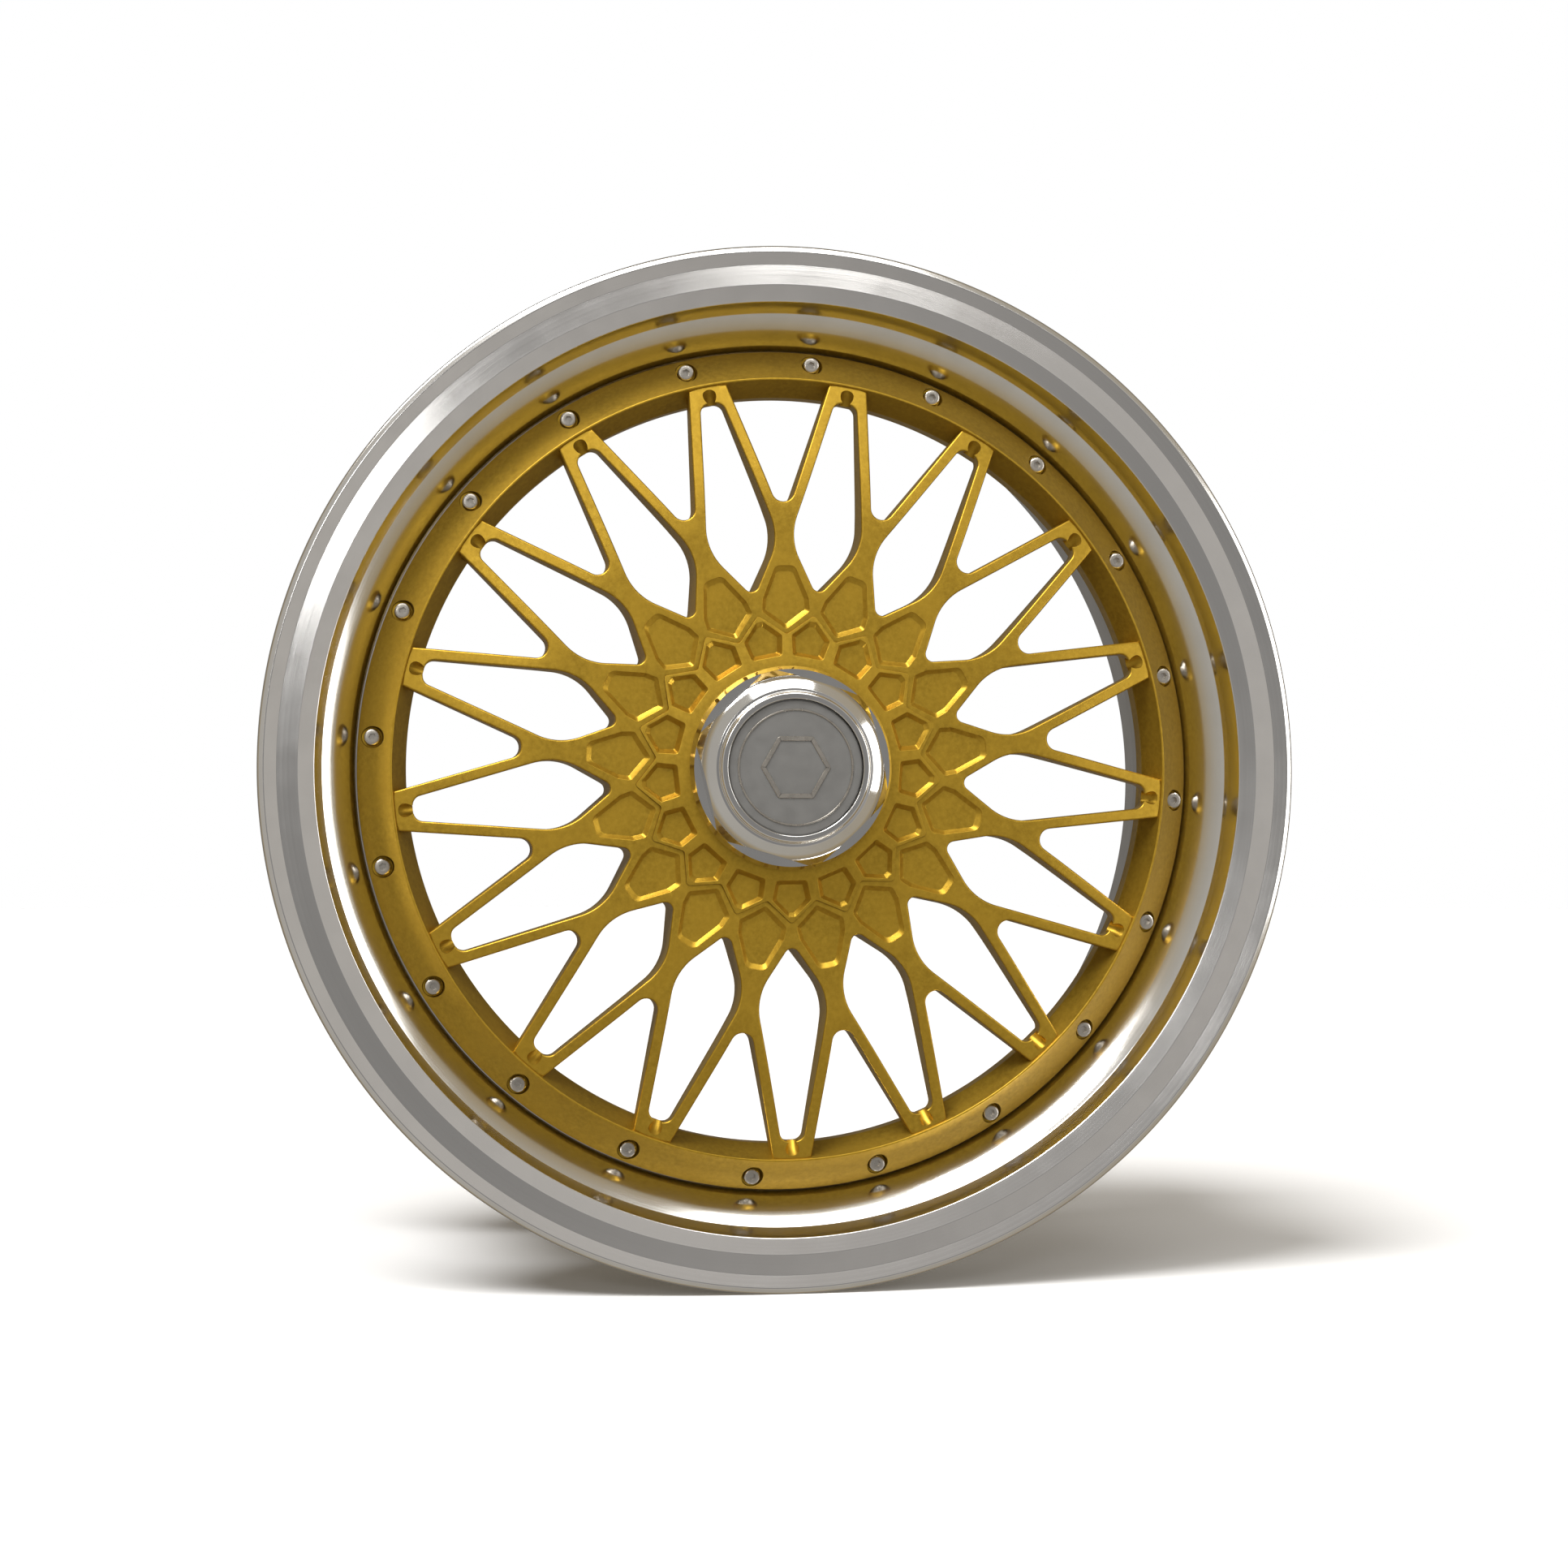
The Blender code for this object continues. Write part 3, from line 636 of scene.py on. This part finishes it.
def make_cap_nut():
    profile = rounded([
        (0, 39.5, 0), (32.0, 39.5, 0.2), (32.0, CAP_TOP, 0.5), (35.2, CAP_TOP, 1.1), (35.7, 39.0, 0.5),
        (37.2, 38.9, 0.6), (42.6, 36.6, 7), (46.5, 31.2, 5), (CAP_FLANGE_R, 27.2, 1.2),
        (CAP_FLANGE_R, 23.9, 0.5), (34.4, 23.9, 0.2), (34.4, 25.8, 0.2), (31.0, 25.8, 0.2),
        (31.0, 23.9, 0.2), (26.2, 23.9, 0.3), (26.2, 5.0, 0.6), (22.5, 5.0, 0.6), (22.5, 36.5, 2.5),
        (0, 36.5, 0)], 6)
    nut = new_object("hex_cap_nut_looks", lathe_mesh("hex_cap_nut_looks", profile, 240, 30))
    first_corner = FLAT_ANGLE + math.pi / 6
    hexagon = evened(circle(FLAT_APOTHEM / math.cos(math.pi / 6), 6, start=first_corner), 1.0)
    outside = circle(60.0, len(hexagon), start=first_corner)
    flats = Shape()
    rows = [raised(hexagon, FLAT_FLOOR), raised(hexagon, 50.0),
            raised(outside, 50.0), raised(outside, FLAT_FLOOR)]
    flats.loft(rows, closed=True)
    combine(nut, flats.mesh("flats"), sharp=24)
    return weighted(nut)


def make_emblem():
    profile = rounded([
        (0, 40.8, 0), (31.1, 40.8, 0.4), (EMBLEM_R, 40.2, 0.2), (EMBLEM_R, 39.8, 0.1), (0, 39.8, 0)], 5)
    return new_object("emblem_plate_looks", lathe_mesh("emblem_plate_looks", profile, 160))


def make_emblem_relief():
    """A plain hexagon cell and a thin ring, standing just proud of the plate."""
    shape = Shape()
    corners = [(x, y, 1.5) for x, y in circle(16.6, 6)]
    hexagon = evened(rounded(corners, 5), 1.0)
    bands = ((circle(26.6, 180), circle(27.4, 180)), (grown(hexagon, -2.0), hexagon))
    for inside, outside in bands:
        rows = [raised(inside, 40.6), raised(inside, 41.2), raised(grown(inside, 0.15), 41.35),
                raised(grown(outside, -0.15), 41.35), raised(outside, 41.2), raised(outside, 40.6)]
        shape.loft(rows, closed=True)
    return new_object("emblem_relief", shape.mesh("emblem_relief"))


def make_valve_pieces():
    body = [(2.5, -182.0), (3.5, -182.0)]
    body += thread_profile(3.9, -182.4, -189.6, 0.8, 0.3) + [(4.15, -190.5)]
    body += thread_profile(4.15, -191.0, -203.0, 1.0, 0.35)
    body += [(4.15, -203.4), (4.15, -211.5), (7.3, -211.5), (7.6, -211.8), (7.6, -213.3), (7.0, -213.8),
             (2.5, -213.8)]
    grommet = [(7.6, -208.2, 0.3), (7.6, -211.2, 0.5), (4.5, -211.2, 0.2), (4.5, -207.5, 0.2),
               (7.0, -207.5, 0.3)]
    washer = [(7.6, -201.2, 0.3), (7.6, -202.5, 0.2), (4.5, -202.5, 0.2), (4.5, -201.2, 0.2)]
    core = [(2.2, -183.0, 0.3), (2.2, -199.0, 0.3), (1.0, -199.0, 0.1), (1.0, -183.0, 0.1)]
    pin = [(0, -182.3), (0.45, -182.3), (0.65, -182.5), (0.65, -199.5), (1.8, -199.5), (1.9, -199.6),
           (1.9, -200.4), (1.8, -200.5), (0, -200.5)]
    seal = [(3.9, -180.7, 0.2), (3.9, -181.7, 0.2), (1.6, -181.7, 0.2), (1.6, -180.7, 0.2)]
    turned = {
        "valve_body": (body, 64),
        "valve_grommet": (rounded(grommet, 4), 64),
        "valve_washer": (rounded(washer, 4), 64),
        "valve_core": (rounded(core, 3), 32),
        "valve_pin": (pin, 24),
        "valve_cap_seal": (rounded(seal, 3), 48),
    }
    made = {}
    for name, (profile, steps) in turned.items():
        mesh = lathe_mesh(name + "_looks", profile, steps, to_world=valve_place)
        made[name] = new_object(name + "_looks", mesh)
    nut = make_nut_mesh(6.9, 4.5, -200.9, -195.9, valve_place)
    made["valve_nut"] = new_object("valve_nut_looks", nut)
    made["valve_nut"].data.name = "valve_nut_looks"

    cap = Shape()
    fluted_r = 5.1
    profile = [(4.1, -178.6), (4.6, -178.75), (4.95, -179.2), (fluted_r, -180.0), (fluted_r, -188.4),
               (4.9, -188.9), (4.9, -189.4), (4.75, -189.5), (4.2, -189.5), (4.2, -180.4)]
    steps = 144
    flutes = 24
    loops = []
    for r, station in profile:
        loop = circle(r, steps)
        if r == fluted_r:
            wave = 0.5 + 0.5 * np.cos(flutes * FULL_TURN * np.arange(steps) / steps)
            loop = loop * (1 - 0.05 * (1 - wave) ** 1.5)[:, None]
        loops.append(raised(loop, station))
    cap.loft(loops)
    cap.cap(loops[0])
    cap.cap(loops[-1])
    made["valve_cap"] = new_object("valve_cap_looks", cap.mesh("valve_cap_looks", 30, valve_place))
    return made


# ---------------------------------------------------------------- materials

class Nodes:
    """A material and short ways to add its nodes."""

    def __init__(self, name, colour, metallic, roughness):
        self.material = bpy.data.materials.new(name)
        self.material.use_nodes = True
        self.tree = self.material.node_tree
        self.shader = self.tree.nodes["Principled BSDF"]
        self.shader.inputs["Base Color"].default_value = (*colour, 1)
        self.shader.inputs["Metallic"].default_value = metallic
        self.shader.inputs["Roughness"].default_value = roughness
        self.place = self.tree.nodes.new("ShaderNodeTexCoord").outputs["Object"]

    def link(self, a, b):
        self.tree.links.new(a, b)

    def noise(self, scale, detail=3.0, vector=None, rough=0.5):
        node = self.tree.nodes.new("ShaderNodeTexNoise")
        node.inputs["Scale"].default_value = scale
        node.inputs["Detail"].default_value = detail
        node.inputs["Roughness"].default_value = rough
        self.link(vector or self.place, node.inputs["Vector"])
        return node.outputs["Fac"]

    def ramp(self, value, low, high, to_low, to_high):
        node = self.tree.nodes.new("ShaderNodeMapRange")
        limits = {"From Min": low, "From Max": high, "To Min": to_low, "To Max": to_high}
        for name, number in limits.items():
            node.inputs[name].default_value = number
        self.link(value, node.inputs["Value"])
        return node.outputs["Result"]

    def math(self, operation, a, b):
        node = self.tree.nodes.new("ShaderNodeMath")
        node.operation = operation
        for socket, value in zip(node.inputs, (a, b)):
            if isinstance(value, (int, float)):
                socket.default_value = value
            else:
                self.link(value, socket)
        return node.outputs["Value"]

    def mix(self, factor, a, b):
        node = self.tree.nodes.new("ShaderNodeMix")
        node.data_type = "RGBA"
        self.link(factor, node.inputs["Factor"])
        for socket, value in ((node.inputs[6], a), (node.inputs[7], b)):
            if isinstance(value, tuple):
                socket.default_value = (*value, 1)
            else:
                self.link(value, socket)
        return node.outputs[2]

    def bump(self, height, strength, distance, after=None):
        node = self.tree.nodes.new("ShaderNodeBump")
        node.inputs["Strength"].default_value = strength
        node.inputs["Distance"].default_value = distance
        self.link(height, node.inputs["Height"])
        if after is not None:
            self.link(after, node.inputs["Normal"])
        return node.outputs["Normal"]

    def rings(self, scale, detail=2.0):
        """Noise that varies only outward from the wheel's axis and along it, like a lathe's marks."""
        parts = self.tree.nodes.new("ShaderNodeSeparateXYZ")
        self.link(self.place, parts.inputs[0])
        squares = self.math("ADD", self.math("MULTIPLY", parts.outputs[0], parts.outputs[0]),
                            self.math("MULTIPLY", parts.outputs[2], parts.outputs[2]))
        whole = self.tree.nodes.new("ShaderNodeCombineXYZ")
        self.link(self.math("SQRT", squares, 0.0), whole.inputs[0])
        self.link(parts.outputs[1], whole.inputs[1])
        return self.noise(scale, detail, whole.outputs[0])

    def set(self, name, socket):
        self.link(socket, self.shader.inputs[name])


def gold_finish():
    m = Nodes("gold_finish", (0.47, 0.30, 0.035), 0.85, 0.4)
    fine = m.noise(2600.0, 2.0)
    broad = m.noise(38.0, 4.0)
    mottle = m.ramp(m.noise(430.0, 6.0, rough=0.65), 0.32, 0.68, 0.0, 1.0)
    tone = m.mix(mottle, (0.33, 0.197, 0.017), (0.47, 0.295, 0.030))
    tone = m.mix(m.ramp(broad, 0.35, 0.65, 0.0, 0.6), tone, (0.41, 0.25, 0.023))
    m.set("Base Color", tone)
    sparkle = m.ramp(fine, 0.3, 0.7, -0.05, 0.05)
    m.set("Roughness", m.math("ADD", sparkle, m.ramp(broad, 0.3, 0.7, 0.36, 0.44)))
    m.set("Normal", m.bump(fine, 0.25, 0.00006))
    return m.material


def turned_metal(name, colour, roughness, line_scale, line_strength):
    m = Nodes(name, colour, 1.0, roughness)
    lines = m.rings(line_scale, 4.0)
    smear = m.noise(55.0, 4.0)
    darker = tuple(c * 0.93 for c in colour)
    m.set("Base Color", m.mix(m.ramp(smear, 0.35, 0.7, 0.0, 1.0), colour, darker))
    fine = m.ramp(lines, 0.3, 0.7, roughness - 0.03, roughness + 0.03)
    m.set("Roughness", m.math("ADD", fine, m.ramp(smear, 0.3, 0.7, -0.02, 0.03)))
    m.set("Normal", m.bump(lines, line_strength, 0.00004))
    return m.material


def grained_metal(name, colour, roughness, scale):
    m = Nodes(name, colour, 1.0, roughness)
    grain = m.noise(scale, 4.0)
    darker = tuple(c * 0.8 for c in colour)
    m.set("Base Color", m.mix(m.ramp(grain, 0.35, 0.7, 0.0, 1.0), colour, darker))
    m.set("Roughness", m.ramp(grain, 0.3, 0.7, roughness - 0.06, roughness + 0.08))
    m.set("Normal", m.bump(m.noise(scale * 5, 2.0), 0.1, 0.00004))
    return m.material


def soft_solid(name, colour, roughness, scale, paling=1.5, bumps=0.3):
    m = Nodes(name, colour, 0.0, roughness)
    grain = m.noise(scale, 5.0)
    paler = tuple(c * paling for c in colour)
    m.set("Base Color", m.mix(m.ramp(grain, 0.35, 0.7, 0.0, 1.0), colour, paler))
    m.set("Roughness", m.ramp(grain, 0.3, 0.7, roughness - 0.08, roughness + 0.08))
    m.set("Normal", m.bump(m.noise(scale * 4, 3.0), bumps, 0.0001))
    return m.material


# ---------------------------------------------------------------- camera, light and floor

def wheel_to_world(x, y, outboard):
    return Vector((x, MID_STATION - outboard, y)) * MM


def add_camera():
    yaw = Matrix.Rotation(CAMERA_YAW, 3, "Y")
    pitch = Matrix.Rotation(CAMERA_PITCH, 3, "X")
    view = pitch @ yaw                                    # wheel frame to the camera's
    where = view.transposed() @ Vector((CAMERA_SLIDE[0], CAMERA_SLIDE[1], CAMERA_DISTANCE))
    right, up, back = (Vector(view[i]) for i in range(3))
    turn = Matrix([[v.x, -v.z, v.y] for v in (right, up, back)]).transposed()
    data = bpy.data.cameras.new("camera")
    data.lens = CAMERA_LENS
    data.sensor_width = 36
    camera = bpy.data.objects.new("camera", data)
    camera.matrix_world = Matrix.Translation(wheel_to_world(*where)) @ turn.to_4x4()
    bpy.context.scene.collection.objects.link(camera)
    bpy.context.scene.camera = camera


def glow_material(name, colour, strength):
    material = bpy.data.materials.new(name)
    material.use_nodes = True
    tree = material.node_tree
    tree.nodes.clear()
    glow = tree.nodes.new("ShaderNodeEmission")
    glow.inputs["Color"].default_value = (*colour, 1)
    glow.inputs["Strength"].default_value = strength
    out = tree.nodes.new("ShaderNodeOutputMaterial")
    tree.links.new(glow.outputs[0], out.inputs[0])
    return material


def add_floor():
    low = CAD_BOX[0].z
    mesh = bpy.data.meshes.new("floor")
    work = bmesh.new()
    bmesh.ops.create_circle(work, cap_ends=True, segments=96, radius=8.0)
    work.to_mesh(mesh)
    work.free()
    floor = new_object("floor", mesh)
    floor.location = (0, 0, low)
    floor.visible_glossy = False
    material = bpy.data.materials.new("pale_floor")
    material.use_nodes = True
    shader = material.node_tree.nodes["Principled BSDF"]
    shader.inputs["Base Color"].default_value = (0.93, 0.93, 0.93, 1)
    shader.inputs["Roughness"].default_value = 0.9
    shader.inputs["Specular IOR Level"].default_value = 0.0
    mesh.materials.append(material)


def add_backdrop():
    """A white dome that the camera sees behind everything; it sends no light to the wheel."""
    mesh = bpy.data.meshes.new("backdrop")
    work = bmesh.new()
    bmesh.ops.create_uvsphere(work, u_segments=48, v_segments=24, radius=9.0)
    work.to_mesh(mesh)
    work.free()
    dome = new_object("backdrop", mesh)
    mesh.materials.append(glow_material("white_backdrop", (1, 1, 1), 1.0))
    dome.visible_diffuse = False
    dome.visible_glossy = False
    dome.visible_transmission = False
    dome.visible_shadow = False
    dome.visible_volume_scatter = False


def add_world():
    """A room that is darker straight in front of the wheel, brighter around that, and dim behind."""
    world = bpy.data.worlds.new("studio")
    bpy.context.scene.world = world
    world.use_nodes = True
    tree = world.node_tree
    sky = tree.nodes["Background"]
    way = tree.nodes.new("ShaderNodeTexCoord").outputs["Generated"]
    parts = tree.nodes.new("ShaderNodeSeparateXYZ")
    tree.links.new(way, parts.inputs[0])
    ramp = tree.nodes.new("ShaderNodeValToRGB")
    stops = ramp.color_ramp.elements
    stops[0].position, stops[0].color = 0.0, (0.24, 0.235, 0.23, 1)
    stops[1].position, stops[1].color = 1.0, (0.20, 0.19, 0.175, 1)
    between = ((0.012, (0.25, 0.245, 0.24)), (0.05, (0.50, 0.48, 0.46)), (0.14, (0.42, 0.40, 0.36)),
               (0.30, (0.38, 0.31, 0.20)), (0.55, (0.23, 0.205, 0.17)))
    for position, colour in between:
        stops.new(position).color = (*colour, 1)
    shift = tree.nodes.new("ShaderNodeMapRange")
    shift.inputs["From Min"].default_value = -1.0
    shift.inputs["From Max"].default_value = 1.0
    tree.links.new(parts.outputs[1], shift.inputs["Value"])
    tree.links.new(shift.outputs["Result"], ramp.inputs["Fac"])
    tree.links.new(ramp.outputs["Color"], sky.inputs["Color"])
    sky.inputs["Strength"].default_value = 1.0


def add_softbox(name, where, size, power):
    """A rectangular light aimed at the wheel's middle."""
    data = bpy.data.lights.new(name, "AREA")
    data.shape = "RECTANGLE"
    data.size, data.size_y = size
    data.energy = power
    light = bpy.data.objects.new(name, data)
    light.location = where
    light.rotation_euler = (-Vector(where)).to_track_quat("-Z", "Y").to_euler()
    bpy.context.scene.collection.objects.link(light)


def add_lights():
    data = bpy.data.lights.new("soft_sun", "SUN")
    data.energy = 3.4
    data.angle = math.radians(28)
    sun = bpy.data.objects.new("soft_sun", data)
    sun.rotation_euler = Vector((0.48, 0.50, -0.95)).to_track_quat("-Z", "Y").to_euler()
    bpy.context.scene.collection.objects.link(sun)
    add_softbox("key_softbox", (-0.72, -3.0, 0.76), (0.55, 0.42), 6)
    add_softbox("top_softbox", (0.1, -1.7, 2.0), (1.5, 0.9), 16)
    add_softbox("upper_softbox", (0.5, -2.3, 1.25), (0.5, 0.35), 3)
    add_softbox("side_softbox", (2.1, -1.6, 0.3), (0.9, 1.5), 14)


# ---------------------------------------------------------------- the whole wheel

def build():
    add_camera()
    gold = gold_finish()
    polished = turned_metal("polished_aluminium", (0.80, 0.785, 0.76), 0.16, 2600.0, 0.16)
    machined = turned_metal("machined_aluminium", (0.70, 0.69, 0.68), 0.30, 1500.0, 0.35)
    steel = grained_metal("bright_steel", (0.60, 0.56, 0.50), 0.28, 300.0)
    brass = grained_metal("plated_brass", (0.72, 0.66, 0.52), 0.24, 260.0)
    sealant = soft_solid("grey_sealant", (0.16, 0.16, 0.16), 0.6, 500.0)
    rubber = soft_solid("black_rubber", (0.02, 0.02, 0.02), 0.55, 700.0)
    mirror = turned_metal("bright_aluminium", (0.82, 0.81, 0.79), 0.09, 2600.0, 0.05)
    emblem = soft_solid("emblem_grey", (0.105, 0.103, 0.098), 0.42, 140.0, 1.12, 0.05)

    finish_piece(make_centre_disc(), gold, "root", "gold_finish", "centre_disc")
    finish_piece(make_cover(), gold, "root", "gold_finish", "honeycomb_cover")
    finish_piece(make_outer_half(), polished, "root", "polished_aluminium", "outer_rim_half")
    finish_piece(make_inner_half(), machined, "root", "machined_aluminium", "inner_rim_half")

    bolt_mesh = make_bolt_mesh()
    nut_top = DISC_BACK - 3 * GAP - 14.0
    nut_mesh = make_nut_mesh(5.77, 3.25, nut_top - 5.0, nut_top)
    nut_mesh.name = "rim_nut_looks"
    for k in range(BOLTS):
        a = BOLT_ANGLE + FULL_TURN * k / BOLTS
        for mesh, kind, spin in ((bolt_mesh, "rim_bolt", 0.7 * k), (nut_mesh, "rim_nut", a)):
            piece = new_object(f"{kind}_looks_{k + 1:02d}", mesh)
            piece.location = (BOLT_CIRCLE_R * math.cos(a) * MM, 0, BOLT_CIRCLE_R * math.sin(a) * MM)
            piece.rotation_euler = (0, -spin, 0)
            finish_piece(piece, steel, "root", "bright_steel", f"{kind}_{k + 1:02d}")

    seal = rounded([
        (212.5, -19.6, 0.3), (211.0, -21.7, 1.0), (208.3, -24.3, 0.4), (208.3, -19.6, 0.2)], 4)
    seal_piece = weighted(new_object("rim_seal_looks", lathe_mesh("rim_seal_looks", seal, 240)))
    finish_piece(seal_piece, sealant, "root", "grey_sealant", "rim_seal")
    finish_piece(make_cap_nut(), mirror, "centre_nut", "polished_aluminium", "hex_cap_nut")
    finish_piece(make_emblem(), emblem, "centre_nut", "emblem_grey", "emblem_plate")
    finish_piece(make_emblem_relief(), steel, "centre_nut", "bright_steel")

    oring = [(33.8, 25.2), (33.8, 24.2), (33.5, 23.85), (33.2, 23.7), (32.0, 23.7), (31.7, 23.85),
             (31.4, 24.2), (31.4, 25.2), (31.7, 25.4), (32.0, 25.5), (33.2, 25.5), (33.5, 25.4)]
    sleeve = [(29.2, 20.3), (29.2, -20.3), (34.3, -20.3), (34.5, -20.5), (34.5, -23.3), (34.3, -23.5),
              (26.8, -23.5)]
    sleeve += thread_profile(26.6, -22.0, 19.0, 1.5, 0.6, inside=True) + [(26.9, 20.5), (29.0, 20.5)]
    centring = rounded([
        (35.9, -24.0, 0.3), (35.9, -28.9, 0.2), (34.7, -28.9, 0.1), (34.7, -31.1, 0.1),
        (35.9, -31.1, 0.2), (35.9, -35.7, 0.4), (33.6, -35.7, 0.3), (32.6, -34.5, 0.5),
        (32.6, -24.0, 0.3)], 3)
    clip = rounded([(37.3, -29.5, 0.2), (37.3, -30.5, 0.2), (35.0, -30.5, 0.2), (35.0, -29.5, 0.2)], 3)
    turned = {
        "cap_nut_oring": (oring, rubber, "nut_seal", "black_rubber"),
        "threaded_sleeve": (sleeve, steel, "root", "bright_steel"),
        "hub_centring_ring": (centring, machined, "root", "machined_aluminium"),
        "centring_ring_clip": (clip, steel, "root", "bright_steel"),
    }
    for name, (profile, material, body, slot) in turned.items():
        piece = weighted(new_object(name + "_looks", lathe_mesh(name + "_looks", profile, 160)))
        finish_piece(piece, material, body, slot, name)
    finishes = {
        "valve_grommet": (rubber, "root", "black_rubber"),
        "valve_cap_seal": (rubber, "cap_seal", "black_rubber"),
        "valve_cap": (polished, "valve_cap", "polished_aluminium"),
        "valve_nut": (steel, "root", "bright_steel"),
        "valve_washer": (steel, "root", "bright_steel"),
        "valve_pin": (brass, "valve_pin", "plated_brass"),
    }
    for name, piece in make_valve_pieces().items():
        material, body, slot = finishes.get(name, (brass, "root", "plated_brass"))
        finish_piece(piece, material, body, slot, name)

    add_floor()
    add_backdrop()
    add_world()
    add_lights()
    bpy.context.scene.view_settings.view_transform = "Standard"


build()
